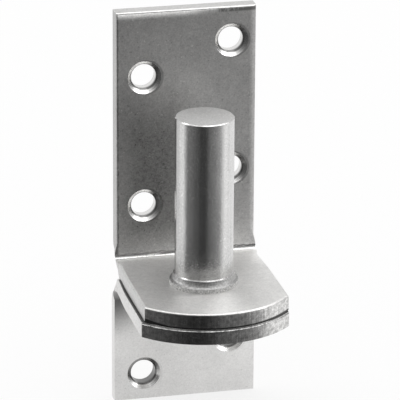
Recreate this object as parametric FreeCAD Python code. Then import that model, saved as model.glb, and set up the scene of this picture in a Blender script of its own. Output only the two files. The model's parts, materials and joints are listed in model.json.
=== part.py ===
import FreeCAD, Part
import math
import os

from FreeCAD import Vector

# Gate hinge pin on a wall plate, riveted together from two bent strips and a turned pin. Millimetres.
# X points right, Y points to the wall and Z points up along the pin.
# The origin is on the pin axis, where its collar ends and the eye of the gate's strap comes to rest.
# The shapes below are drawn with the shelf's top at height 0, and are lowered to that origin at the end.

# Pin
pin_diameter = 16.0
pin_height = 47.4
pin_top_chamfer = 0.25

# Collar at the pin's foot: a low rim, a flat shoulder, a steep neck and a narrow sloping ledge
collar_rim_height = 1.1
collar_shoulder_height = 0.4
collar_neck_height = 1.5
collar_ledge = 0.3
collar_neck_flare = 0.45
collar_shoulder_flare = 0.6

# Riveted shank under the collar
shank_diameter = 12.0
shank_clearance = 0.1
rivet_head_diameter = 18.0
rivet_face_diameter = 12.5
rivet_head_rim = 0.8
rivet_head_slope = 2.2

# Strips
plate_thickness = 4.25
bend_inner_radius = 1.2
upper_bend_radius = 9.6
lower_bend_radius = 10.4
upper_width = 39.1
lower_width = 40.0
lower_shift = -0.1
upper_leaf_height = 70.8
lower_leaf_height = 33.9
edge_round = 0.6

# Right edge of the upper leaf, eased back where the shear pulled its front face over
roll_over_width = 1.7
roll_over_depth = 0.3

# Shelf: how far its round nose reaches from the pin's axis, and how much further the lower layer's does
pin_to_wall = 26.2
upper_nose_reach = 24.5
lower_nose_lead = 0.3
upper_nose_radius = 25.7
lower_nose_radius = 26.6
corner_round = 0.8

# How far a shelf's sides stand out beyond its leaf's sides, and the length over which they do so
upper_left_spread = 0.35
upper_right_spread = 0.5
lower_left_spread = 0.6
lower_right_spread = 0.1
spread_length = 17.0

# Strip edges pushed out of shape by the bending
upper_draw_in = 1.2
lower_draw_in = 1.7
draw_in_depth = 2.0
draw_in_sweep = 30.0
bulge = 0.5
bulge_sweep = 11.0

# Screw holes
hole_diameter = 7.0
countersink_diameter = 9.4
countersink_angle = 90.0
hole_column_gap = 24.3
hole_column_shift = 0.5
hole_stagger = 9.1
upper_hole_height = 15.1
upper_hole_pitch = 37.0
lower_hole_margin = 7.6

# Room that cutters have beyond the metal, and how near an edge lies to the face it belongs to
tool_margin = 5.0
tolerance = 0.001

# Derived sizes
pin_radius = pin_diameter / 2
shank_radius = shank_diameter / 2
collar_height = collar_rim_height + collar_shoulder_height + collar_neck_height
seat_height = collar_height + collar_ledge
leaf_front = pin_to_wall - plate_thickness
shelf_start = leaf_front - bend_inner_radius
lower_nose_reach = upper_nose_reach + lower_nose_lead
inner_centre = Vector(0, shelf_start, bend_inner_radius)
shelf_underside = -2 * plate_thickness
lower_tip = shelf_underside - lower_leaf_height

# Unit vectors across the strip, and out of the middle of the bend towards the wall
across = Vector(1, 0, 0)
bend_out = Vector(0, 1, -1).normalize()


def outer_bend_centre(bend_radius):
    return Vector(0, pin_to_wall - bend_radius, bend_radius - plate_thickness)


def bent_profile(leaf_height, nose_reach, bend_radius):
    """Side view of a strip whose leaf stands up from a shelf that points forward."""
    outer_centre = outer_bend_centre(bend_radius)
    wall_top = Vector(0, pin_to_wall, leaf_height)
    wall_bend = Vector(0, pin_to_wall, outer_centre.z)
    outer_middle = outer_centre + bend_out * bend_radius
    under_bend = Vector(0, outer_centre.y, -plate_thickness)
    under_nose = Vector(0, -nose_reach, -plate_thickness)
    top_nose = Vector(0, -nose_reach, 0)
    top_bend = Vector(0, shelf_start, 0)
    inner_middle = inner_centre + bend_out * bend_inner_radius
    front_bend = Vector(0, leaf_front, bend_inner_radius)
    front_top = Vector(0, leaf_front, leaf_height)
    edges = [
        Part.makeLine(wall_top, wall_bend),
        Part.Arc(wall_bend, outer_middle, under_bend).toShape(),
        Part.makeLine(under_bend, under_nose),
        Part.makeLine(under_nose, top_nose),
        Part.makeLine(top_nose, top_bend),
        Part.Arc(top_bend, inner_middle, front_bend).toShape(),
        Part.makeLine(front_bend, front_top),
        Part.makeLine(front_top, wall_top),
    ]
    return Part.Face(Part.Wire(edges))


def across_strip(profile, width, shift):
    """Solid of a side view, as wide as the strip."""
    solid = profile.extrude(across * width)
    solid.translate(across * (shift - width / 2))
    return solid


def spread_arcs(start, end):
    """Plan of one side of the strip: two arcs that ease out from the leaf's width to the shelf's."""
    middle = (start + end) / 2
    lean = math.atan2(end.x - start.x, start.y - end.y)
    arcs = []
    for first, last, turn in ((start, middle, -1), (middle, end, 1)):
        chord = last - first
        crown = Vector(-chord.y, chord.x, 0) / 2 * math.tan(lean / 2) * turn
        arcs.append(Part.Arc(first, (first + last) / 2 + crown, last).toShape())
    return arcs


def plan_outline(width, shift, spreads, nose, leaf_height):
    """Room that the strip may fill: its width at the wall, its spread sides and its round nose."""
    left_spread, right_spread = spreads
    nose_reach, nose_radius = nose
    nose_centre = nose_radius - nose_reach
    left = shift - width / 2
    right = shift + width / 2
    left_start = Vector(left, shelf_start, 0)
    right_start = Vector(right, shelf_start, 0)
    left_end = Vector(left - left_spread, shelf_start - spread_length, 0)
    right_end = Vector(right + right_spread, shelf_start - spread_length, 0)
    left_corner = Vector(left_end.x, nose_centre - math.sqrt(nose_radius ** 2 - left_end.x ** 2), 0)
    right_corner = Vector(right_end.x, nose_centre - math.sqrt(nose_radius ** 2 - right_end.x ** 2), 0)
    nose_tip = Vector(0, -nose_reach, 0)
    left_back = Vector(left, pin_to_wall + tool_margin, 0)
    right_back = Vector(right, pin_to_wall + tool_margin, 0)
    edges = [
        Part.makeLine(left_back, left_start),
        *spread_arcs(left_start, left_end),
        Part.makeLine(left_end, left_corner),
        Part.Arc(left_corner, nose_tip, right_corner).toShape(),
        Part.makeLine(right_corner, right_end),
        *reversed(spread_arcs(right_start, right_end)),
        Part.makeLine(right_start, right_back),
        Part.makeLine(right_back, left_back),
    ]
    room = Part.Face(Part.Wire(edges)).extrude(Vector(0, 0, leaf_height + plate_thickness + 2 * tool_margin))
    corners = [edge for edge in room.Edges if is_corner(edge, left_corner) or is_corner(edge, right_corner)]
    room = room.makeFillet(corner_round, corners)
    room.translate(Vector(0, 0, -plate_thickness - tool_margin))
    return room


def is_corner(edge, corner):
    """True for the upright edge above a corner of the plan."""
    ends = [vertex.Point for vertex in edge.Vertexes]
    return all(math.hypot(end.x - corner.x, end.y - corner.y) < tolerance for end in ends)


def on_skin_outline(edge, faces_wall, bend_radius):
    """True for an outline edge of one of the strip's faces: the wall side, or the side away from it."""
    skin = pin_to_wall if faces_wall else leaf_front
    shelf = -plate_thickness if faces_wall else 0.0
    radius = bend_radius if faces_wall else bend_inner_radius
    centre = outer_bend_centre(bend_radius) if faces_wall else inner_centre
    middle = edge.valueAt((edge.FirstParameter + edge.LastParameter) / 2)
    on_leaf = abs(middle.y - skin) < tolerance
    on_shelf = abs(middle.z - shelf) < tolerance
    from_bend = math.hypot(middle.y - centre.y, middle.z - centre.z)
    in_bend = middle.y > centre.y and middle.z < centre.z and abs(from_bend - radius) < tolerance
    ends_bend = min(abs(middle.y - centre.y), abs(middle.z - centre.z)) < tolerance
    return (on_leaf or on_shelf or in_bend) and not ends_bend


def roll_over_tool(right, leaf_height):
    """Cutter that eases the leaf's front face back towards its right edge, from the bend up."""
    radius = (roll_over_width ** 2 + roll_over_depth ** 2) / (2 * roll_over_depth)
    start_x = right - roll_over_width
    height = leaf_height - bend_inner_radius + tool_margin
    corner = Part.makeBox(roll_over_width + tool_margin, tool_margin + roll_over_depth, height,
                          Vector(start_x, leaf_front - tool_margin, bend_inner_radius))
    kept = Part.makeCylinder(radius, height, Vector(start_x, leaf_front + radius, bend_inner_radius))
    return corner.cut(kept)


def draw_in_tool(side, width, shift, draw_in, bend_radius):
    """Round cutter that pulls the strip's edge in on the outside of the bend."""
    outward = across * side
    outer_middle = outer_bend_centre(bend_radius) + bend_out * bend_radius
    on_skin = outer_middle + across * shift + outward * (width / 2 - draw_in)
    along = (outward * draw_in - bend_out * draw_in_depth).normalize()
    away = (outward * draw_in_depth + bend_out * draw_in).normalize()
    reach = 2 * bend_radius
    start = on_skin + away * draw_in_sweep - along * reach
    return Part.makeCylinder(draw_in_sweep, 2 * reach, start, along)


def bulge_lump(side, profile, width, shift):
    """Lens of metal that stands out of the strip's edge on the inside of the bend."""
    inner_middle = inner_centre + bend_out * bend_inner_radius
    centre = inner_middle + across * (shift + side * (width / 2 + bulge - bulge_sweep))
    ball = Part.makeSphere(bulge_sweep, centre)
    return ball.common(across_strip(profile, width + 2 * tool_margin, shift))


def bent_strip(width, shift, spreads, leaf_height, nose, bend_radius, draw_in,
               round_faces_wall, rolled_over):
    """One L-shaped strip with its leaf up, its nose rounded and a hole for the pin's shank."""
    nose_reach = nose[0]
    profile = bent_profile(leaf_height, nose_reach + tool_margin, bend_radius)
    strip = across_strip(profile, width + 2 * tool_margin, shift)
    room = plan_outline(width, shift, spreads, nose, leaf_height)
    strip = strip.common(room).removeSplitter()
    outline = [edge for edge in strip.Edges if on_skin_outline(edge, round_faces_wall, bend_radius)]
    strip = strip.makeFillet(edge_round, outline)
    if rolled_over:
        strip = strip.cut(roll_over_tool(shift + width / 2, leaf_height))
    for side in (-1, 1):
        strip = strip.fuse(bulge_lump(side, profile, width, shift))
        strip = strip.cut(draw_in_tool(side, width, shift, draw_in, bend_radius))
    hole_depth = plate_thickness + 2 * tool_margin
    hole_foot = Vector(0, 0, -plate_thickness - tool_margin)
    shank_hole = Part.makeCylinder(shank_radius + shank_clearance, hole_depth, hole_foot)
    return strip.cut(shank_hole).removeSplitter()


def screw_hole(x, z):
    """Cutter for one countersunk screw hole, driven from the front of the leaf."""
    to_wall = Vector(0, 1, 0)
    hole_radius = hole_diameter / 2
    mouth_radius = countersink_diameter / 2
    slope = math.tan(math.radians(countersink_angle / 2))
    sink_depth = (mouth_radius - hole_radius) / slope
    through = Part.makeCylinder(hole_radius, plate_thickness + 2 * tool_margin,
                                Vector(x, leaf_front - tool_margin, z), to_wall)
    sink = Part.makeCone(mouth_radius, hole_radius, sink_depth, Vector(x, leaf_front, z), to_wall)
    mouth = Part.makeCylinder(mouth_radius, tool_margin, Vector(x, leaf_front - tool_margin, z), to_wall)
    return through.fuse([sink, mouth])


def hole_pair(centre_x, low_z):
    """Two holes, the right one higher than the left one."""
    left = screw_hole(centre_x - hole_column_gap / 2, low_z)
    right = screw_hole(centre_x + hole_column_gap / 2, low_z + hole_stagger)
    return [left, right]


def upper_plate():
    spreads = (upper_left_spread, upper_right_spread)
    nose = (upper_nose_reach, upper_nose_radius)
    strip = bent_strip(upper_width, 0.0, spreads, upper_leaf_height, nose,
                       upper_bend_radius, upper_draw_in, False, True)
    for row in range(2):
        low_z = upper_hole_height + row * upper_hole_pitch
        strip = strip.cut(hole_pair(hole_column_shift, low_z))
    return strip


def lower_plate():
    # The same kind of strip, turned over about the plane where the two layers meet
    spreads = (lower_left_spread, lower_right_spread)
    nose = (lower_nose_reach, lower_nose_radius)
    strip = bent_strip(lower_width, lower_shift, spreads, lower_leaf_height, nose,
                       lower_bend_radius, lower_draw_in, True, False)
    strip = strip.mirror(Vector(0, 0, -plate_thickness), Vector(0, 0, 1))
    low_z = lower_tip + lower_hole_margin
    return strip.cut(hole_pair(hole_column_shift + lower_shift, low_z))


def hinge_pin():
    ledge_radius = pin_radius + collar_ledge
    neck_radius = ledge_radius + collar_neck_flare
    rim_radius = neck_radius + collar_shoulder_flare
    head_radius = rivet_head_diameter / 2
    face_radius = rivet_face_diameter / 2
    head_rim_end = shelf_underside - rivet_head_rim
    head_end = head_rim_end - rivet_head_slope
    section = Part.makePolygon([
        Vector(0, 0, pin_height),
        Vector(pin_radius - pin_top_chamfer, 0, pin_height),
        Vector(pin_radius, 0, pin_height - pin_top_chamfer),
        Vector(pin_radius, 0, seat_height),
        Vector(ledge_radius, 0, collar_height),
        Vector(neck_radius, 0, collar_rim_height + collar_shoulder_height),
        Vector(rim_radius, 0, collar_rim_height),
        Vector(rim_radius, 0, 0),
        Vector(shank_radius, 0, 0),
        Vector(shank_radius, 0, shelf_underside),
        Vector(head_radius, 0, shelf_underside),
        Vector(head_radius, 0, head_rim_end),
        Vector(face_radius, 0, head_end),
        Vector(0, 0, head_end),
        Vector(0, 0, pin_height),
    ])
    return Part.Face(section).revolve(Vector(0, 0, 0), Vector(0, 0, 1), 360)


pieces = {
    "upper_plate": upper_plate(),
    "lower_plate": lower_plate(),
    "hinge_pin": hinge_pin(),
}
os.makedirs("parts", exist_ok=True)
for name, shape in pieces.items():
    solid = shape.Solids[0]
    solid.translate(Vector(0, 0, -seat_height))
    solid.exportStep("parts/" + name + ".step")
    print(name, len(shape.Solids), solid.isValid(), round(solid.Volume))
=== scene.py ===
import json
import math

import bpy
from mathutils import Matrix, Vector


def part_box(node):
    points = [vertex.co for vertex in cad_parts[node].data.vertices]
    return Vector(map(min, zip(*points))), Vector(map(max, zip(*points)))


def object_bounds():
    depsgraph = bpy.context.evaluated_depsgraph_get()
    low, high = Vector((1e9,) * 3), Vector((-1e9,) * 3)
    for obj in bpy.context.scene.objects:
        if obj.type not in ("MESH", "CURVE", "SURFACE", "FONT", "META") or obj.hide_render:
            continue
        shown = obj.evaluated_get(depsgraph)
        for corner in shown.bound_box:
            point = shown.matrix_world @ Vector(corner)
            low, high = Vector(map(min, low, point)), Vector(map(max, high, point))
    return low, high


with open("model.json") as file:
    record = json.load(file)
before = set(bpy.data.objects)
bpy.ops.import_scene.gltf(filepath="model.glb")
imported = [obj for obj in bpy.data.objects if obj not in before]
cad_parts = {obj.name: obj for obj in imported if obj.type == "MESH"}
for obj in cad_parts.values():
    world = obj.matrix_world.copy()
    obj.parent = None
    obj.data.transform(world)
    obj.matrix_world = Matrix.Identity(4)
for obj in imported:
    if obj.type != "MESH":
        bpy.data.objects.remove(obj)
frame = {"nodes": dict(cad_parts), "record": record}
cad_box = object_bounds()

MM = 0.001
PER_METRE = 1000.0
MICRON = 0.000001

# Camera: bearing, height and roll in degrees, the aimed point and its distance in metres
CAMERA_BEARING = -13.511
CAMERA_HEIGHT = 19.965
CAMERA_ROLL = 0.347
CAMERA_DISTANCE = 1003.3 * MM
CAMERA_TARGET = Vector((0.785, 8.2, 17.319)) * MM
CAMERA_REACH = 20.0
SENSOR_MM = 36.0
FOCAL_MM = 331.85

# White floor, in metres, darker where the metal mirrors it, most of all on the left
FLOOR_Z = cad_box[0][2]
FLOOR_REACH = 3.0
FLOOR_COLOR = (0.97, 0.97, 0.97, 1)
FLOOR_LEFT_TONE = 0.60
FLOOR_RIGHT_TONE = 0.90
FLOOR_TURN = 0.15
SHADOW_SHARE = 0.25

# Dark ground before the part, in metres, with a wall at its far end, which only reflections show
GROUND_START = 72 * MM
GROUND_END = 2.5
GROUND_LIFT = 1 * MM
WALL_TOP = 3.2
GROUND_STEPS = 48
NEAR_END = 170 * MM
NEAR_TONE = 0.45
NEAR_TONE_TURN = (50.0, 75.0)
WALL_FADE = (0.5, 2.6)
WALL_TOP_TONE = 3.7

# Brightness of the dark ground, by the angle in degrees about the camera's bearing
GROUND_TONES = (
    (-110, 0.90),
    (-87, 0.88),
    (-71, 0.20),
    (-50, 0.15),
    (-12, 0.05),
    (6, 0.05),
    (22, 0.165),
    (50, 0.26),
    (66, 0.42),
    (80, 0.88),
    (96, 1.00),
)

# Lamp overhead, in metres, and white sky
LAMP_PLACE = Vector((0.2, 0.22, 1.2))
LAMP_SIZE = 1.5
LAMP_WATTS = 10.0
WHITE = (1, 1, 1, 1)
SKY_STRENGTH = 1.0
MIRRORED_SKY_STRENGTH = 0.72

# Places on the part, in millimetres
STRIP_THICKNESS = 4.25
SEAM_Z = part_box("lower_plate")[1][2] * PER_METRE
SHELF_Z = SEAM_Z + STRIP_THICKNESS
LEAF_END_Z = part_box("upper_plate")[1][2] * PER_METRE
LEFT_EDGE_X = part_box("upper_plate")[0][0] * PER_METRE
LEAF_FRONT_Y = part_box("upper_plate")[1][1] * PER_METRE - STRIP_THICKNESS

# Screw holes, about the middle of each pair
HOLE_COLUMN_GAP = 24.3
HOLE_STAGGER = 9.1
HOLE_RADIUS = 3.5
MOUTH_RADIUS = 4.7

# From here on, a pair is where a mask starts and where it is full, and two more numbers are the
# results there. Lengths are in millimetres, with X, Y and Z from the top of the collar on the pin's
# axis. FACING is a part of the direction that the surface faces, and LEVEL is one of noise. TONE
# changes the brightness, ROUGH is the roughness and RELIEF is in microns, and a pair of these is the
# result at low and at high noise.

# Noise patterns: scale, detail and roughness
CLOUD = (0.09, 3.0, 0.55)
MOTTLE = (0.8, 3.0, 0.6)
GRAIN = (2.2, 2.0, 0.6)
SPECK = (1.5, 1.0, 0.5)
BRIGHT_SPECK = (1.8, 1.0, 0.5)
WANDER = (0.7, 3.0, 0.6)
PIN_CLOUD = (0.12, 3.0, 0.55)
FLECK = (1.1, 2.0, 0.6)
ROUGH_MARKS = (1.0, 3.0, 0.65)
FINE_MARKS = (1.0, 3.0, 0.6)
SOFT_MARKS = (1.0, 2.0, 0.5)
NOISE_MIDDLE = 0.5
NOISE_REACH = 0.2
GRAIN_REACH = 0.25
NARROW_REACH = 0.15

# Plating: its colours, and the tone that brings them up to white
STRIP_COLOR = (0.735, 0.73, 0.72, 1)
PIN_COLOR = (0.745, 0.742, 0.735, 1)
WHITE_TONE = 1.36

# Strip: faces and their parts
FRONT_FACING = (-0.85, -0.95)
UPWARD_FACING = (0.85, 0.97)
SIDE_FACING = (0.75, 0.95)
LOWER_LEAF_OVER_SEAM = (-5.0, -8.0)
UPPER_LEAF_OVER_SEAM = (4.5, 6.0)
SHELF_TOP_FADE = (0.5, 0.3)

# Strip: tumbled faces, fainter on the shelf and the lower leaf
CLOUD_TONE = 0.05
MOTTLE_TONE = 0.06
GRAIN_TONE = 0.14
SPECK_LEVEL = (0.66, 0.72)
SPECK_TONE = -0.22
BRIGHT_SPECK_LEVEL = (0.69, 0.74)
BRIGHT_SPECK_TONE = 0.25
SPECK_TURN = (0.7, 0.4, 0.9)
EVEN_SCALE = (1, 1, 1)
FAINT_GRAIN = 0.55
FAINT_MOTTLE = 0.3
FACE_ROUGH = (0.45, 0.51)
GRAIN_ROUGH = 0.04
MOTTLE_RELIEF = 9.0
LOWER_MOTTLE_RELIEF = 4.0
GRAIN_RELIEF = 4.0

# Strip: scratches, each set with its turn, its scale along and across, and its noise level
SCRATCH_SETS = (
    ((0, 0.35, 0), (0.05, 2.2, 2.2), 0.70),
    ((0.5, -0.9, 0.3), (0.07, 2.6, 2.6), 0.71),
)
SCRATCH_FADE = 0.05
SCRATCH_TONE = 0.12
SCRATCH_RELIEF = -4.0

# Strip: top end of the upper leaf, which drops with the square of the reach, and the leaf's left edge
END_FACE_FROM_END = (1.0, 0.5)
END_FACE_TONE = 0.78
END_ROUND_REACH = 2.5
END_ROUND_RELIEF = (12.0, 0.0, -30.0, -210.0)
RAGGED_SCALE = (1.5, 1.5, 0.5)
BURR_FROM_END = 0.9
BURR_FADE = (0.7, 0.3)
BURR_X = (8.0, 13.0)
BURR_WANDER = 6.0
BURR_TONE = 0.4
LEFT_LINE_FADE = (1.25, 0.85)
LEFT_LINE_WANDER = 0.25
LEFT_LINE_TONE = 0.5

# Strip: upper leaf, a little darker overall, with painted reflections of the lit shelf low down and of
# the white to the right, and painted shade behind the pin for its shadow and dark reflection
UPPER_LEAF_TONE = -0.05
SHELF_REFLECTION_TONE = 0.22
SHELF_REFLECTION_OVER_SHELF = (12.0, 1.0)
SHELF_REFLECTION_X = (-17.0, -8.0)
RIGHT_REFLECTION_TONE = 0.09
RIGHT_REFLECTION_X = (-2.0, 17.0)
PIN_SHADE_TONE = -0.48
PIN_SHADE_X = -8.0
PIN_SHADE_WIDTH = (17.0, 3.0)
PIN_SHADE_OVER_SHELF = 22.0
PIN_SHADE_HEIGHT = (30.0, 10.0)

# Strip: inner bend between the shelf and the upper leaf, with an uneven line of painted shade along it
BEND_BEFORE_LEAF = (2.45, 1.45)
BEND_FACING = (-0.3, -0.6)
BEND_SHADE_OVER_SHELF = 1.2
BEND_SHADE_FADE = (0.25, 0.1)
BEND_SHADE_WANDER = 0.25
BEND_SHADE_TONE = (4.0, 10.0, 0.65, 0.4)
BEND_MARK_OVER_SHELF = 1.95
BEND_MARK_FADE = (0.3, 0.1)
BEND_MARK_LEVEL = (0.4, 0.6)
BEND_MARK_RELIEF = 45.0
CREASE_BOTTOM_OVER_SHELF = (0.02, 0.1)
CREASE_TOP_OVER_SHELF = (1.25, 1.15)
CREASE_BEFORE_LEAF = (1.25, 1.05)
CREASE_ROUGH = 0.2

# Strip: lower leaf, painted lighter, more so to the right, for the bright floor it mirrors, and painted
# shade in its upper left corner under the shelf
LOWER_LEAF_LIGHT_TONE = (-5.0, 19.0, 1.18, 1.27)
LOWER_LEAF_ROUGH = 0.28
CORNER_X = -20.0
CORNER_OVER_SEAM = -5.0
CORNER_REACH = (16.0, 2.0)
CORNER_FACING = (-0.7, -0.9)
CORNER_SHADE_TONE = 0.18

# Strip: shelf, with painted light on its top before the pin and towards the leaf
FRONT_LIGHT_TONE = 0.22
FRONT_LIGHT_X = -1.5
FRONT_LIGHT_WIDTH = (11.0, 2.0)
FRONT_LIGHT_Y = (-8.0, -10.5)
BACK_LIGHT_TONE = 0.22
BACK_LIGHT_Y = (6.0, 18.0)
SHELF_ROUGH = 0.50
FRONT_LIGHT_ROUGH = 0.35

# Strip: slit sides, darker on the upper leaf and painted lighter on the lower plate, where it mirrors
# the bright floor
SIDE_TONE = 1.08
UPPER_SIDE_OVER_SEAM = (3.5, 5.5)
UPPER_SIDE_TONE = 0.85
LOWER_SIDE_OVER_SEAM = (0.1, -0.1)
LOWER_SIDE_LIGHT_TONE = 1.28
SIDE_ROUGH = 0.30

# Strip: sheared noses of the shelf, with upright marks, painted light that makes them lighter to the
# right, and a bright upper edge on the lower one
NOSE_FACING = (-0.3, -0.5)
NOSE_TILT_FACING = (0.75, 0.35)
NOSE_Y = (-4.0, -8.0)
NOSE_RADIUS = 24.0
NOSE_LIGHT_TONE = (-8.0, 8.0, 0.78, 1.05)
NOSE_ROUGH = 0.17
STRIATION_SCALE = (2.6, 0.10, 1)
STRIATION_TONE = (0.75, 1.15)
STRIATION_RELIEF = (2.0, 10.0, 20.0, 45.0)
BLOTCH_SCALE = (0.8, 0.9, 1)
BLOTCH_TONE = (0.70, 1.25)
NOSE_RIM_TOP_OVER_SEAM = (-0.12, -0.2)
NOSE_RIM_BOTTOM_OVER_SEAM = (-0.75, -0.55)
NOSE_RIM_TONE = (0.2, 0.8)
NOSE_RIM_RELIEF = (-0.6, -0.15, 0.0, -400.0)

# Strip: dark seam between the two layers, wider at the ends of the nose
SEAM_BEFORE_LEAF = (1.95, 3.95)
SEAM_BOTTOM = -0.16
SEAM_TOP = 0.3
SEAM_FADE = 0.1
SEAM_TONE = 0.12
NOSE_SEAM_BOTTOM = -0.1
NOSE_SEAM_TOP_LEFT = (-19.5, -14.0, 1.1, 0.35)
NOSE_SEAM_TOP_RIGHT = (8.0, 20.0, 0.35, 0.6)
LEDGE_LEFT_X = (-18.6, -17.6)
LEDGE_RIGHT_X = (13.0, 9.0)

# Strip: countersinks and bores, with painted light and shade on each sink by the way it faces, painted
# shade beside the mouth, and painted light and shade in the bores
SINK_FADE = (0.15, -0.05)
SINK_FACING = (-0.95, -0.85)
SINK_LIGHT_FACING = (-0.15, 0.25, 0.65, WHITE_TONE)
SINK_SHADED_FACING = (-0.2, -0.55)
SINK_SHADED_TONE = 0.45
LOWER_SINK_SHADED_TONE = 0.85
SINK_ROUGH = 0.22
SINK_SHADE_SHIFT = 0.45
SINK_SHADE_FADE = (0.35, 0.05)
SINK_SHADE_TONE = 0.65
LOWER_SINK_SHADE_TONE = 0.9
RINGS_PER_MM = 5.0
RING_TONE = (0.8, 1.2)
RING_RELIEF = 16.0
BORE_FADE = (0.10, 0.03)
BORE_BEFORE_LEAF = (-1.35, -2.35)
BORE_FRONT_SHADE_TONE = 0.2
LOWER_BORE_BACK_SHADE_TONE = 0.35
BORE_EDGE_START = (0.02, 0.08)
BORE_EDGE_END = (0.45, 0.25)
BORE_EDGE_TONE = 0.3

# Pin: turned side with flecks, sparks, streaks and slow waves
PIN_GRAIN_TONE = 0.12
STREAK_SCALE = (1.2, 1.2, 0.03)
STREAK_TONE = 0.06
FLECK_LEVEL = (0.63, 0.70)
FLECK_TONE = -0.16
SPARK_LEVEL = (0.64, 0.70)
SPARK_TONE = 0.14
PIN_ROUGH = (0.18, 0.23)
PIN_GRAIN_ROUGH = 0.03
WAVE_SCALE = (0.35, 0.35, 0.12)
WAVE_RELIEF = 60.0
TURNING_PER_MM = 4.0
TURNING_RELIEF = 1.5
PIN_GRAIN_RELIEF = 3.0
FLECK_RELIEF = -5.0
SPARK_RELIEF = 5.0

# Pin: sawn end
PIN_END_TONE = 0.80
PIN_END_ROUGH = 0.50
PIN_END_RELIEF = 6.0

# Pin: foot above the collar, with painted shade darkening it towards the collar, and stronger grain and
# flecks
FOOT_Z = (8.0, 1.0)
FOOT_SHADE_TONE = (5.0, 1.5, 0.85, 0.68)
FOOT_GRAIN_TONE = 0.07
FOOT_FLECK_TONE = -0.12

# Pin: collar, with a neck that turns out towards its rim, the neck painted darker downwards as shade
# and the rim painted up to white as light
COLLAR_Z = (-0.3, -0.5)
COLLAR_SHADE_TONE = (-1.6, -1.9, 0.95, 0.7)
COLLAR_GRAIN_TONE = (0.85, 1.15)
COLLAR_ROUGH = 0.42
COLLAR_GRAIN_RELIEF = 10.0
NECK_Z = (-0.6, -1.8)
NECK_RELIEF = 230.0
RIM_Z = (-2.1, -2.4)
RIM_ROUGH = 0.75


class Nodes:
    """Short way to write a node tree."""

    def __init__(self, tree):
        self.tree = tree
        tree.nodes.clear()

    def add(self, kind, inputs=None, **settings):
        node = self.tree.nodes.new(kind)
        for name, value in settings.items():
            setattr(node, name, value)
        for name, value in (inputs or {}).items():
            self.put(node.inputs[name], value)
        return node

    def put(self, socket, value):
        if isinstance(value, bpy.types.NodeSocket):
            self.tree.links.new(value, socket)
        else:
            socket.default_value = value

    def math(self, operation, a, b=0.0):
        node = self.add("ShaderNodeMath", operation=operation)
        self.put(node.inputs[0], a)
        self.put(node.inputs[1], b)
        return node.outputs[0]

    def plus(self, a, b):
        return self.math("ADD", a, b)

    def minus(self, a, b):
        return self.math("SUBTRACT", a, b)

    def times(self, a, b):
        return self.math("MULTIPLY", a, b)

    def larger(self, a, b):
        return self.math("MAXIMUM", a, b)

    def total(self, values):
        result = values[0]
        for value in values[1:]:
            result = self.plus(result, value)
        return result

    def product(self, values):
        result = values[0]
        for value in values[1:]:
            result = self.times(result, value)
        return result

    def away(self, value, middle=0.0):
        """Distance of a value from a middle value."""
        return self.math("ABSOLUTE", self.minus(value, middle))

    def diagonal(self, a, b):
        return self.math("SQRT", self.plus(self.times(a, a), self.times(b, b)))

    def split(self, vector):
        node = self.add("ShaderNodeSeparateXYZ", {"Vector": vector})
        return node.outputs["X"], node.outputs["Y"], node.outputs["Z"]

    def join(self, x, y, z):
        node = self.add("ShaderNodeCombineXYZ", {"X": x, "Y": y, "Z": z})
        return node.outputs["Vector"]

    def stretched(self, vector, scale, turn=(0, 0, 0)):
        node = self.add("ShaderNodeMapping", {"Vector": vector, "Scale": scale, "Rotation": turn})
        return node.outputs["Vector"]

    def noise(self, vector, scale, detail, rough):
        node = self.add("ShaderNodeTexNoise", {
            "Vector": vector, "Scale": scale, "Detail": detail, "Roughness": rough})
        return node.outputs["Fac"]

    def span(self, value, low, high, out_low=0.0, out_high=1.0, soft=False):
        """A value's way from low to high, as a result from out_low to out_high."""
        ends = {"From Min": low, "From Max": high, "To Min": out_low, "To Max": out_high}
        node = self.add("ShaderNodeMapRange", {"Value": value, **ends},
                        interpolation_type="SMOOTHSTEP" if soft else "LINEAR")
        return node.outputs["Result"]

    def band(self, value, start, end):
        """1 between two fades, and 0 outside them."""
        return self.times(self.span(value, *start), self.span(value, *end))

    def vary(self, noise, low, high, reach=NOISE_REACH):
        """A noise pattern's usual reach about its middle, as a result from low to high."""
        return self.span(noise, NOISE_MIDDLE - reach, NOISE_MIDDLE + reach, low, high)

    def swing(self, noise, amount, reach=NOISE_REACH):
        """A noise pattern as a change up and down by an amount."""
        return self.vary(noise, -amount, amount, reach)

    def blend(self, factor, a, b):
        node = self.add("ShaderNodeMix", data_type="FLOAT")
        self.put(node.inputs["Factor"], factor)
        self.put(node.inputs[2], a)
        self.put(node.inputs[3], b)
        return node.outputs[0]

    def times_where(self, mask, value, factor):
        """A value, times a factor where the mask is 1."""
        return self.blend(mask, value, self.times(value, factor))

    def shade(self, color, tone):
        """A colour made lighter or darker by a factor."""
        node = self.add("ShaderNodeMix", data_type="RGBA", blend_type="MULTIPLY")
        self.put(node.inputs["Factor"], 1.0)
        self.put(node.inputs[6], color)
        self.put(node.inputs[7], self.join(tone, tone, tone))
        return node.outputs[2]

    def finish(self, shader):
        out = self.add("ShaderNodeOutputMaterial")
        self.put(out.inputs["Surface"], shader)


class Spot:
    """A spot on the part: its place in millimetres and the way the surface faces, as sockets."""

    def __init__(self, nodes):
        source = nodes.add("ShaderNodeTexCoord")
        metres = source.outputs["Object"]
        scaled = nodes.add("ShaderNodeVectorMath", {0: metres, "Scale": PER_METRE}, operation="SCALE")
        self.place = scaled.outputs["Vector"]
        self.x, self.y, self.z = nodes.split(self.place)
        self.facing_x, self.facing_y, self.facing_z = nodes.split(source.outputs["Normal"])


def new_material(name):
    material = bpy.data.materials.new(name)
    material.use_nodes = True
    return material, Nodes(material.node_tree)


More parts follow.
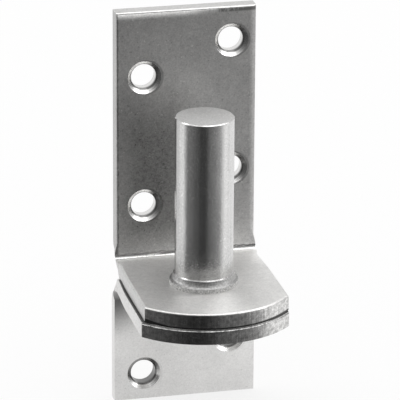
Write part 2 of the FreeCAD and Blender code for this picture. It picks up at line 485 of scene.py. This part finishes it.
def finish_metal(nodes, color, tone, rough, relief):
    """Metal with a tone over its colour, and with a relief in microns."""
    bump = nodes.add("ShaderNodeBump", {"Height": relief, "Strength": 1.0, "Distance": MICRON})
    shader = nodes.add("ShaderNodeBsdfPrincipled", {
        "Base Color": nodes.shade(color, tone),
        "Metallic": 1.0,
        "Roughness": rough,
        "Normal": bump.outputs["Normal"],
    })
    nodes.finish(shader.outputs["BSDF"])


def bright_specks(nodes, spot, pattern, level):
    """Specks from a turned pattern, so that they keep clear of the other noise."""
    noise = nodes.noise(nodes.stretched(spot.place, EVEN_SCALE, SPECK_TURN), *pattern)
    return nodes.span(noise, *level)


def scratch_lines(nodes, spot, turn, scale, level):
    """Thin marks along one direction: 1 on a mark and 0 beside it."""
    noise = nodes.noise(nodes.stretched(spot.place, scale, turn), *FINE_MARKS)
    return nodes.span(noise, level, level + SCRATCH_FADE)


def hole_centres():
    """Middle of every screw hole, in millimetres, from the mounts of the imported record."""
    centres = []
    for mount in frame["record"]["mounts"]:
        if mount["kind"] != "bolt_pattern":
            continue
        x = mount["pos_m"][0] * PER_METRE
        z = mount["pos_m"][2] * PER_METRE
        for side in (-0.5, 0.5):
            centres.append((x + side * HOLE_COLUMN_GAP, z + side * HOLE_STAGGER))
    return centres


def distance_to_holes(nodes, x, z):
    """Distance from the nearest screw hole's axis."""
    nearest = None
    for hole_x, hole_z in hole_centres():
        distance = nodes.diagonal(nodes.minus(x, hole_x), nodes.minus(z, hole_z))
        nearest = distance if nearest is None else nodes.math("MINIMUM", nearest, distance)
    return nearest


def find_strip_faces(nodes, spot):
    """Masks of the strip's faces, and distances from the seam, the shelf, the leaf and its end."""
    spot.over_seam = nodes.minus(spot.z, SEAM_Z)
    spot.over_shelf = nodes.minus(spot.z, SHELF_Z)
    spot.before_leaf = nodes.minus(LEAF_FRONT_Y, spot.y)
    spot.from_end = nodes.minus(LEAF_END_Z, spot.z)
    spot.front = nodes.span(spot.facing_y, *FRONT_FACING)
    spot.upward = nodes.span(spot.facing_z, *UPWARD_FACING)
    spot.sideways = nodes.span(nodes.away(spot.facing_x), *SIDE_FACING)
    spot.below = nodes.span(spot.over_seam, *LOWER_LEAF_OVER_SEAM)
    spot.upper_leaf = nodes.times(spot.front, nodes.span(spot.over_seam, *UPPER_LEAF_OVER_SEAM))
    spot.lower_leaf = nodes.times(spot.front, spot.below)
    spot.shelf_top = nodes.times(spot.upward, nodes.span(nodes.away(spot.over_shelf), *SHELF_TOP_FADE))
    spot.nose = nodes.product([
        nodes.span(spot.facing_y, *NOSE_FACING),
        nodes.span(spot.y, *NOSE_Y),
        nodes.span(nodes.away(spot.facing_z), *NOSE_TILT_FACING),
    ])


def find_holes(nodes, spot):
    """Masks of the countersinks, the shade beside them, the bores and the bores' edges."""
    distance = distance_to_holes(nodes, spot.x, spot.z)
    from_mouth = nodes.minus(distance, MOUTH_RADIUS)
    from_bore = nodes.minus(distance, HOLE_RADIUS)
    spot.sink = nodes.span(from_mouth, *SINK_FADE)
    spot.bore = nodes.span(from_bore, *BORE_FADE)
    spot.bore_edge = nodes.band(from_bore, BORE_EDGE_START, BORE_EDGE_END)
    spot.rings = nodes.noise(nodes.join(nodes.times(distance, RINGS_PER_MM), 0.0, 0.0), *SOFT_MARKS)
    shifted_distance = distance_to_holes(nodes, nodes.minus(spot.x, SINK_SHADE_SHIFT), spot.z)
    from_shade = nodes.minus(shifted_distance, MOUTH_RADIUS)
    spot.sink_shade = nodes.times(spot.front, nodes.span(from_shade, *SINK_SHADE_FADE))


def find_seam(nodes, spot):
    """Mask of the seam between the two layers, without the ledge of the lower nose."""
    bottom = nodes.blend(spot.nose, SEAM_BOTTOM, NOSE_SEAM_BOTTOM)
    left_top = nodes.span(spot.x, *NOSE_SEAM_TOP_LEFT)
    right_top = nodes.span(spot.x, *NOSE_SEAM_TOP_RIGHT)
    top = nodes.blend(spot.nose, SEAM_TOP, nodes.larger(left_top, right_top))
    ledge = nodes.times(spot.upward, nodes.band(spot.x, LEDGE_LEFT_X, LEDGE_RIGHT_X))
    spot.seam = nodes.product([
        nodes.span(nodes.minus(spot.over_seam, top), SEAM_FADE, -SEAM_FADE),
        nodes.math("GREATER_THAN", spot.over_seam, bottom),
        nodes.minus(1.0, ledge),
        nodes.span(spot.before_leaf, *SEAM_BEFORE_LEAF),
    ])


def find_bend(nodes, spot):
    """Masks of the inner bend: its hollow, an uneven line of painted shade and a raised mark over it.
    """
    near_leaf = nodes.span(spot.before_leaf, *BEND_BEFORE_LEAF)
    by_bend = nodes.times(near_leaf, nodes.span(spot.facing_y, *BEND_FACING))
    spot.crease = nodes.product([
        nodes.band(spot.over_shelf, CREASE_BOTTOM_OVER_SHELF, CREASE_TOP_OVER_SHELF),
        nodes.span(spot.before_leaf, *CREASE_BEFORE_LEAF),
        nodes.minus(1.0, spot.sideways),
    ])
    wander = nodes.swing(nodes.noise(spot.place, *WANDER), BEND_SHADE_WANDER)
    from_bend_shade = nodes.away(nodes.plus(spot.over_shelf, wander), BEND_SHADE_OVER_SHELF)
    spot.bend_line = nodes.times(by_bend, nodes.span(from_bend_shade, *BEND_SHADE_FADE))
    from_mark = nodes.away(spot.over_shelf, BEND_MARK_OVER_SHELF)
    spot.bend_mark = nodes.times(by_bend, nodes.span(from_mark, *BEND_MARK_FADE))


def find_shelf_painted_light(nodes, spot):
    """Painted light on the shelf's top, as additions to the tone."""
    spot.front_glow = nodes.product([
        spot.shelf_top,
        nodes.span(nodes.away(spot.x, FRONT_LIGHT_X), *FRONT_LIGHT_WIDTH, soft=True),
        nodes.span(spot.y, *FRONT_LIGHT_Y, soft=True),
        FRONT_LIGHT_TONE,
    ])
    near_leaf = nodes.span(spot.y, *BACK_LIGHT_Y, soft=True)
    spot.back_glow = nodes.product([spot.shelf_top, near_leaf, BACK_LIGHT_TONE])


def find_strip_textures(nodes, spot):
    """Noise patterns of the faces, the scratches, the ragged edges and the sheared nose."""
    spot.cloud = nodes.noise(spot.place, *CLOUD)
    spot.mottle = nodes.noise(spot.place, *MOTTLE)
    spot.grain = nodes.noise(spot.place, *GRAIN)
    spot.specks = nodes.span(nodes.noise(spot.place, *SPECK), *SPECK_LEVEL)
    spot.bright_specks = bright_specks(nodes, spot, BRIGHT_SPECK, BRIGHT_SPECK_LEVEL)
    first, second = [scratch_lines(nodes, spot, *marks) for marks in SCRATCH_SETS]
    spot.scratches = nodes.larger(first, second)
    spot.ragged = nodes.noise(nodes.stretched(spot.place, RAGGED_SCALE), *ROUGH_MARKS)
    around = nodes.times(nodes.math("ARCTAN2", spot.x, nodes.times(spot.y, -1.0)), NOSE_RADIUS)
    along_nose = nodes.join(around, spot.z, 0.0)
    spot.striation = nodes.noise(nodes.stretched(along_nose, STRIATION_SCALE), *ROUGH_MARKS)
    spot.blotch = nodes.noise(nodes.stretched(along_nose, BLOTCH_SCALE), *ROUGH_MARKS)


def face_tone(nodes, spot):
    """Tumbled faces: clouds, mottling, grain and specks."""
    grain_share = nodes.blend(nodes.larger(spot.below, spot.upward), 1.0, FAINT_GRAIN)
    mottle_share = nodes.blend(spot.below, 1.0, FAINT_MOTTLE)
    return nodes.total([
        nodes.swing(spot.cloud, CLOUD_TONE),
        nodes.times(nodes.swing(spot.mottle, MOTTLE_TONE), mottle_share),
        nodes.times(grain_share, nodes.swing(spot.grain, GRAIN_TONE, GRAIN_REACH)),
        nodes.product([grain_share, spot.specks, SPECK_TONE]),
        nodes.product([grain_share, spot.bright_specks, BRIGHT_SPECK_TONE]),
        1.0,
    ])


def leaf_edge_tone(nodes, spot, tone):
    """Edges of the upper leaf: a duller end face, a ragged burr and a dark line on the left."""
    end_face = nodes.times(spot.upward, nodes.span(spot.from_end, *END_FACE_FROM_END))
    tone = nodes.times_where(end_face, tone, END_FACE_TONE)
    burr_x = nodes.plus(spot.x, nodes.swing(spot.ragged, BURR_WANDER))
    from_burr = nodes.away(spot.from_end, BURR_FROM_END)
    burr = nodes.product([spot.front, nodes.span(from_burr, *BURR_FADE), nodes.span(burr_x, *BURR_X)])
    tone = nodes.blend(burr, tone, BURR_TONE)
    from_left = nodes.plus(nodes.minus(spot.x, LEFT_EDGE_X), nodes.swing(spot.ragged, LEFT_LINE_WANDER))
    left_line = nodes.times(spot.upper_leaf, nodes.span(from_left, *LEFT_LINE_FADE))
    return nodes.times_where(left_line, tone, LEFT_LINE_TONE)


def upper_leaf_tone(nodes, spot, tone):
    """Front of the upper leaf: painted reflections of the shelf and of the white to the right, painted
    shade behind the pin, and a line of painted shade along the bend.
    """
    # Painted reflections of the lit shelf low down and of the white to the right, and the pin's painted
    # shadow and dark reflection
    low_height = nodes.span(spot.over_shelf, *SHELF_REFLECTION_OVER_SHELF, soft=True)
    shelf_reflection = nodes.product([low_height, nodes.span(spot.x, *SHELF_REFLECTION_X), SHELF_REFLECTION_TONE])
    right_reflection = nodes.times(nodes.span(spot.x, *RIGHT_REFLECTION_X, soft=True), RIGHT_REFLECTION_TONE)
    pin_shade = nodes.product([
        nodes.span(nodes.away(spot.x, PIN_SHADE_X), *PIN_SHADE_WIDTH, soft=True),
        nodes.span(nodes.away(spot.over_shelf, PIN_SHADE_OVER_SHELF), *PIN_SHADE_HEIGHT, soft=True),
        PIN_SHADE_TONE,
    ])
    change = nodes.total([shelf_reflection, right_reflection, pin_shade, UPPER_LEAF_TONE])
    tone = nodes.plus(tone, nodes.times(spot.upper_leaf, change))
    # Painted shade along the bend, darker to the right
    return nodes.times_where(spot.bend_line, tone, nodes.span(spot.x, *BEND_SHADE_TONE))


def corner_shade_tone(nodes, spot, tone):
    """Painted shade in the upper left corner of the lower leaf, under the shelf."""
    aside = nodes.minus(spot.x, CORNER_X)
    above = nodes.minus(spot.over_seam, CORNER_OVER_SEAM)
    corner = nodes.product([
        spot.below,
        nodes.span(nodes.diagonal(aside, above), *CORNER_REACH, soft=True),
        nodes.span(spot.facing_y, *CORNER_FACING),
    ])
    return nodes.times_where(corner, tone, CORNER_SHADE_TONE)


def nose_tone(nodes, spot):
    """Sheared noses: upright marks and blotches, with painted light making them lighter to the right.
    """
    return nodes.product([
        nodes.vary(spot.striation, *STRIATION_TONE),
        nodes.vary(spot.blotch, *BLOTCH_TONE, NARROW_REACH),
        nodes.span(spot.x, *NOSE_LIGHT_TONE),
    ])


def side_tone(nodes, spot):
    """Slit sides of the shelf, the upper leaf and the lower plate, with painted light on the lower
    plate.
    """
    tone = nodes.blend(nodes.span(spot.over_seam, *UPPER_SIDE_OVER_SEAM), SIDE_TONE, UPPER_SIDE_TONE)
    return nodes.blend(nodes.span(spot.over_seam, *LOWER_SIDE_OVER_SEAM), tone, LOWER_SIDE_LIGHT_TONE)


def hole_tone(nodes, spot, tone):
    """Screw holes: painted shade beside the mouth, painted light and shade in the sink by the way it
    faces, turned rings in the sink, painted light and shade in the bore, and the bore's dark edge.
    """
    shade_tone = nodes.blend(spot.below, SINK_SHADE_TONE, LOWER_SINK_SHADE_TONE)
    tone = nodes.times_where(spot.sink_shade, tone, shade_tone)
    # Painted light on the sink's upward-facing part and painted shade on its right wall
    shaded_tone = nodes.blend(spot.below, SINK_SHADED_TONE, LOWER_SINK_SHADED_TONE)
    sink_light_and_shade = nodes.product([
        nodes.span(spot.facing_z, *SINK_LIGHT_FACING),
        nodes.span(spot.facing_x, *SINK_SHADED_FACING, 1.0, shaded_tone),
        nodes.vary(spot.rings, *RING_TONE, NARROW_REACH),
    ])
    sloping_sink = nodes.times(spot.sink, nodes.span(spot.facing_y, *SINK_FACING))
    tone = nodes.blend(sloping_sink, tone, sink_light_and_shade)
    # Painted shade at the front of each bore, and painted light at the back of the upper ones
    bore_back_light_and_shade = nodes.blend(spot.below, WHITE_TONE, LOWER_BORE_BACK_SHADE_TONE)
    bore_light_and_shade = nodes.span(spot.before_leaf, *BORE_BEFORE_LEAF, BORE_FRONT_SHADE_TONE, bore_back_light_and_shade)
    tone = nodes.blend(spot.bore, tone, bore_light_and_shade)
    return nodes.blend(spot.bore_edge, tone, BORE_EDGE_TONE)


def strip_tone(nodes, spot):
    """Brightness of the strip's plating, one part over the other."""
    tone = face_tone(nodes, spot)
    tone = leaf_edge_tone(nodes, spot, tone)
    tone = upper_leaf_tone(nodes, spot, tone)
    tone = corner_shade_tone(nodes, spot, tone)
    tone = nodes.blend(spot.nose, tone, nose_tone(nodes, spot))
    tone = nodes.times_where(spot.sideways, tone, side_tone(nodes, spot))
    # Painted light on the shelf's top
    tone = nodes.total([tone, spot.front_glow, spot.back_glow])
    rim_height = nodes.band(spot.over_seam, NOSE_RIM_TOP_OVER_SEAM, NOSE_RIM_BOTTOM_OVER_SEAM)
    nose_rim = nodes.times(spot.nose, rim_height)
    tone = nodes.blend(nose_rim, tone, nodes.vary(spot.blotch, *NOSE_RIM_TONE, NARROW_REACH))
    # Painted light on the lower leaf, for the bright floor it mirrors, more to the right
    tone = nodes.times_where(spot.lower_leaf, tone, nodes.span(spot.x, *LOWER_LEAF_LIGHT_TONE))
    tone = hole_tone(nodes, spot, tone)
    tone = nodes.blend(spot.seam, tone, SEAM_TONE)
    return nodes.plus(tone, nodes.times(spot.scratches, SCRATCH_TONE))


def strip_rough(nodes, spot):
    """Roughness of the strip's plating, one part over the other."""
    face = nodes.plus(nodes.vary(spot.cloud, *FACE_ROUGH), nodes.swing(spot.grain, GRAIN_ROUGH))
    shelf = nodes.plus(SHELF_ROUGH, nodes.times(spot.front_glow, FRONT_LIGHT_ROUGH))
    rough = nodes.blend(spot.upward, face, shelf)
    rough = nodes.blend(spot.below, rough, LOWER_LEAF_ROUGH)
    rough = nodes.blend(spot.sideways, rough, SIDE_ROUGH)
    rough = nodes.blend(spot.nose, rough, NOSE_ROUGH)
    rough = nodes.blend(spot.crease, rough, CREASE_ROUGH)
    return nodes.blend(spot.sink, rough, SINK_ROUGH)


def strip_relief(nodes, spot):
    """Heights of the strip's fine marks, in microns."""
    end_reach = nodes.larger(nodes.minus(END_ROUND_REACH, spot.from_end), 0.0)
    end_round = nodes.product([spot.front, end_reach, end_reach])
    lower_layer = nodes.math("LESS_THAN", spot.over_seam, 0.0)
    return nodes.total([
        nodes.times(spot.mottle, nodes.blend(spot.below, MOTTLE_RELIEF, LOWER_MOTTLE_RELIEF)),
        nodes.times(end_round, nodes.span(spot.x, *END_ROUND_RELIEF)),
        nodes.product([spot.bend_mark, nodes.span(spot.mottle, *BEND_MARK_LEVEL), BEND_MARK_RELIEF]),
        nodes.times(spot.grain, GRAIN_RELIEF),
        nodes.times(spot.scratches, SCRATCH_RELIEF),
        nodes.product([spot.nose, spot.striation, nodes.span(spot.x, *STRIATION_RELIEF)]),
        nodes.product([spot.nose, nodes.span(spot.over_seam, *NOSE_RIM_RELIEF), lower_layer]),
        nodes.product([spot.sink, spot.rings, RING_RELIEF]),
    ])


def zinc_strip():
    """Zinc-plated rolled strip: tumbled faces, sheared edges and turned countersinks."""
    material, nodes = new_material("zinc_strip")
    spot = Spot(nodes)
    find_strip_faces(nodes, spot)
    find_holes(nodes, spot)
    find_seam(nodes, spot)
    find_bend(nodes, spot)
    find_shelf_painted_light(nodes, spot)
    find_strip_textures(nodes, spot)
    tone = strip_tone(nodes, spot)
    rough = strip_rough(nodes, spot)
    relief = strip_relief(nodes, spot)
    finish_metal(nodes, STRIP_COLOR, tone, rough, relief)
    return material


def find_pin_parts(nodes, spot):
    """Masks of the pin's sawn end, its foot and the parts of its collar."""
    spot.end = nodes.span(spot.facing_z, *UPWARD_FACING)
    spot.foot = nodes.span(spot.z, *FOOT_Z, soft=True)
    spot.collar = nodes.span(spot.z, *COLLAR_Z)
    spot.neck = nodes.span(spot.z, *NECK_Z)
    spot.rim = nodes.span(spot.z, *RIM_Z)


def find_pin_textures(nodes, spot):
    """Noise patterns of the pin: grain, flecks, sparks, streaks, waves and turning rings."""
    spot.cloud = nodes.noise(spot.place, *PIN_CLOUD)
    spot.grain = nodes.noise(spot.place, *GRAIN)
    spot.fleck = nodes.span(nodes.noise(spot.place, *FLECK), *FLECK_LEVEL)
    spot.spark = bright_specks(nodes, spot, SPECK, SPARK_LEVEL)
    spot.wave = nodes.noise(nodes.stretched(spot.place, WAVE_SCALE), *SOFT_MARKS)
    spot.streak = nodes.noise(nodes.stretched(spot.place, STREAK_SCALE), *FINE_MARKS)
    spot.turning = nodes.noise(nodes.join(0.0, 0.0, nodes.times(spot.z, TURNING_PER_MM)), *FINE_MARKS)


def pin_tone(nodes, spot):
    """Brightness of the pin's plating, one part over the other."""
    tone = nodes.total([
        nodes.swing(spot.cloud, CLOUD_TONE),
        nodes.swing(spot.grain, PIN_GRAIN_TONE, GRAIN_REACH),
        nodes.swing(spot.streak, STREAK_TONE),
        nodes.times(spot.fleck, FLECK_TONE),
        nodes.times(spot.spark, SPARK_TONE),
        1.0,
    ])
    tone = nodes.times_where(spot.end, tone, PIN_END_TONE)
    # Painted shade on the foot, darker towards the collar
    foot_shade_and_grain = nodes.total([
        nodes.span(spot.z, *FOOT_SHADE_TONE),
        nodes.swing(spot.grain, FOOT_GRAIN_TONE),
        nodes.times(spot.fleck, FOOT_FLECK_TONE),
    ])
    tone = nodes.times_where(spot.foot, tone, foot_shade_and_grain)
    # Painted shade on the neck, and painted light taking the rim up to white
    collar_light_and_shade = nodes.blend(spot.rim, nodes.span(spot.z, *COLLAR_SHADE_TONE), WHITE_TONE)
    collar_grain = nodes.vary(spot.grain, *COLLAR_GRAIN_TONE)
    return nodes.times_where(spot.collar, tone, nodes.times(collar_light_and_shade, collar_grain))


def pin_rough(nodes, spot):
    """Roughness of the pin's plating."""
    side = nodes.plus(nodes.vary(spot.cloud, *PIN_ROUGH), nodes.swing(spot.grain, PIN_GRAIN_ROUGH))
    rough = nodes.blend(spot.end, side, PIN_END_ROUGH)
    return nodes.blend(spot.collar, rough, nodes.blend(spot.rim, COLLAR_ROUGH, RIM_ROUGH))


def pin_relief(nodes, spot):
    """Heights of the pin's fine marks and of the neck's last turn out, in microns."""
    return nodes.total([
        nodes.times(spot.wave, WAVE_RELIEF),
        nodes.times(spot.turning, TURNING_RELIEF),
        nodes.times(spot.grain, PIN_GRAIN_RELIEF),
        nodes.times(spot.fleck, FLECK_RELIEF),
        nodes.times(spot.spark, SPARK_RELIEF),
        nodes.product([spot.end, spot.grain, PIN_END_RELIEF]),
        nodes.product([spot.collar, spot.grain, COLLAR_GRAIN_RELIEF]),
        nodes.product([spot.neck, spot.neck, NECK_RELIEF]),
    ])


def zinc_pin():
    """Zinc-plated turned bar: fine rings along its length and a sawn, matt end."""
    material, nodes = new_material("zinc_pin")
    spot = Spot(nodes)
    find_pin_parts(nodes, spot)
    find_pin_textures(nodes, spot)
    tone = pin_tone(nodes, spot)
    rough = pin_rough(nodes, spot)
    relief = pin_relief(nodes, spot)
    finish_metal(nodes, PIN_COLOR, tone, rough, relief)
    return material


def dress(node, material):
    for slot in frame["nodes"][node].material_slots:
        slot.material = material


def stage_mesh(name, points, faces, material):
    mesh = bpy.data.meshes.new(name)
    mesh.from_pydata(points, [], faces)
    mesh.materials.append(material)
    obj = bpy.data.objects.new(name, mesh)
    bpy.context.scene.collection.objects.link(obj)
    return obj


def floor_material():
    """White that the camera and reflections see, with a share of true shadow."""
    material, nodes = new_material("floor")
    lit = nodes.add("ShaderNodeBsdfDiffuse", {"Color": FLOOR_COLOR})
    path = nodes.add("ShaderNodeLightPath")
    seen = path.outputs["Is Camera Ray"]
    x, _, _ = nodes.split(nodes.add("ShaderNodeTexCoord").outputs["Object"])
    mirrored_tone = nodes.span(x, -FLOOR_TURN, FLOOR_TURN, FLOOR_LEFT_TONE, FLOOR_RIGHT_TONE)
    strength = nodes.blend(seen, mirrored_tone, 1.0)
    white = nodes.add("ShaderNodeEmission", {"Color": WHITE, "Strength": strength})
    seen_or_mirrored = nodes.larger(seen, path.outputs["Is Glossy Ray"])
    both = nodes.add("ShaderNodeMixShader", {"Fac": nodes.times(seen_or_mirrored, 1.0 - SHADOW_SHARE)})
    nodes.put(both.inputs[1], lit.outputs["BSDF"])
    nodes.put(both.inputs[2], white.outputs["Emission"])
    nodes.finish(both.outputs["Shader"])
    return material


def white_floor():
    corners = []
    for x, y in ((-1, -1), (1, -1), (1, 1), (-1, 1)):
        corners.append((x * FLOOR_REACH, y * FLOOR_REACH, FLOOR_Z))
    stage_mesh("floor", corners, [(0, 1, 2, 3)], floor_material())


def bearing_direction(turn):
    """Level direction at an angle about the camera's bearing."""
    angle = math.radians(CAMERA_BEARING + turn)
    return Vector((math.sin(angle), -math.cos(angle), 0))


def ground_material():
    """Glow that changes with the angle about the camera's bearing, darker close to the part."""
    material, nodes = new_material("dark_ground")
    x, y, z = nodes.split(nodes.add("ShaderNodeTexCoord").outputs["Object"])
    angle = nodes.math("DEGREES", nodes.math("ARCTAN2", x, nodes.times(y, -1.0)))
    turn = nodes.minus(angle, CAMERA_BEARING)
    low = GROUND_TONES[0][0]
    high = GROUND_TONES[-1][0]
    ramp = nodes.add("ShaderNodeValToRGB", {"Fac": nodes.span(turn, low, high)})
    stops = ramp.color_ramp.elements
    while len(stops) < len(GROUND_TONES):
        stops.new(1.0)
    for stop, (stop_angle, tone) in zip(stops, GROUND_TONES):
        stop.position = (stop_angle - low) / (high - low)
        stop.color = (tone, tone, tone, 1)
    near_tone = nodes.span(nodes.diagonal(x, y), GROUND_START, NEAR_END, NEAR_TONE, 1.0)
    near_tone = nodes.blend(nodes.span(turn, *NEAR_TONE_TURN), near_tone, 1.0)
    wall_tone = nodes.span(z, *WALL_FADE, 1.0, WALL_TOP_TONE)
    strength = nodes.times(near_tone, wall_tone)
    glow = nodes.add("ShaderNodeEmission", {"Color": ramp.outputs["Color"], "Strength": strength})
    nodes.finish(glow.outputs["Emission"])
    return material


def dark_ground():
    """Ring sector on the floor and a wall along its outer edge."""
    rows = ((GROUND_START, GROUND_LIFT), (GROUND_END, GROUND_LIFT), (GROUND_END, WALL_TOP))
    low = GROUND_TONES[0][0]
    high = GROUND_TONES[-1][0]
    points = []
    for step in range(GROUND_STEPS + 1):
        direction = bearing_direction(low + (high - low) * step / GROUND_STEPS)
        for reach, lift in rows:
            point = direction * reach
            points.append((point.x, point.y, FLOOR_Z + lift))
    faces = []
    for step in range(GROUND_STEPS):
        for row in range(len(rows) - 1):
            here = step * len(rows) + row
            beyond = here + len(rows)
            faces.append((here, here + 1, beyond + 1, beyond))
    ground = stage_mesh("dark_ground", points, faces, ground_material())
    ground.visible_camera = False
    ground.visible_diffuse = False
    ground.visible_shadow = False


def white_sky():
    world = bpy.data.worlds.new("studio")
    bpy.context.scene.world = world
    world.use_nodes = True
    nodes = Nodes(world.node_tree)
    path = nodes.add("ShaderNodeLightPath")
    strength = nodes.blend(path.outputs["Is Glossy Ray"], SKY_STRENGTH, MIRRORED_SKY_STRENGTH)
    sky = nodes.add("ShaderNodeBackground", {"Color": WHITE, "Strength": strength})
    out = nodes.add("ShaderNodeOutputWorld")
    nodes.put(out.inputs["Surface"], sky.outputs["Background"])


def overhead_lamp():
    lamp = bpy.data.lights.new("overhead", "AREA")
    lamp.size = LAMP_SIZE
    lamp.energy = LAMP_WATTS
    holder = bpy.data.objects.new("overhead", lamp)
    holder.visible_diffuse = False
    holder.location = LAMP_PLACE
    holder.rotation_euler = LAMP_PLACE.to_track_quat("Z", "Y").to_euler()
    bpy.context.scene.collection.objects.link(holder)


def aimed_camera():
    bearing = math.radians(CAMERA_BEARING)
    height = math.radians(CAMERA_HEIGHT)
    roll = math.radians(CAMERA_ROLL)
    back = bearing_direction(0) * math.cos(height) + Vector((0, 0, math.sin(height)))
    level = Vector((math.cos(bearing), math.sin(bearing), 0))
    rise = back.cross(level)
    right = level * math.cos(roll) + rise * math.sin(roll)
    up = rise * math.cos(roll) - level * math.sin(roll)
    camera = bpy.data.cameras.new("camera")
    camera.sensor_width = SENSOR_MM
    camera.lens = FOCAL_MM
    camera.clip_end = CAMERA_REACH
    viewer = bpy.data.objects.new("camera", camera)
    turn = Matrix((right, up, back)).transposed().to_4x4()
    viewer.matrix_world = Matrix.Translation(CAMERA_TARGET + back * CAMERA_DISTANCE) @ turn
    bpy.context.scene.collection.objects.link(viewer)
    bpy.context.scene.camera = viewer


# Metal on the CAD nodes
strip_metal = zinc_strip()
dress("upper_plate", strip_metal)
dress("lower_plate", strip_metal)
dress("hinge_pin", zinc_pin())

# Stage, light and camera
white_floor()
dark_ground()
white_sky()
overhead_lamp()
aimed_camera()
bpy.context.scene.view_settings.view_transform = "Standard"
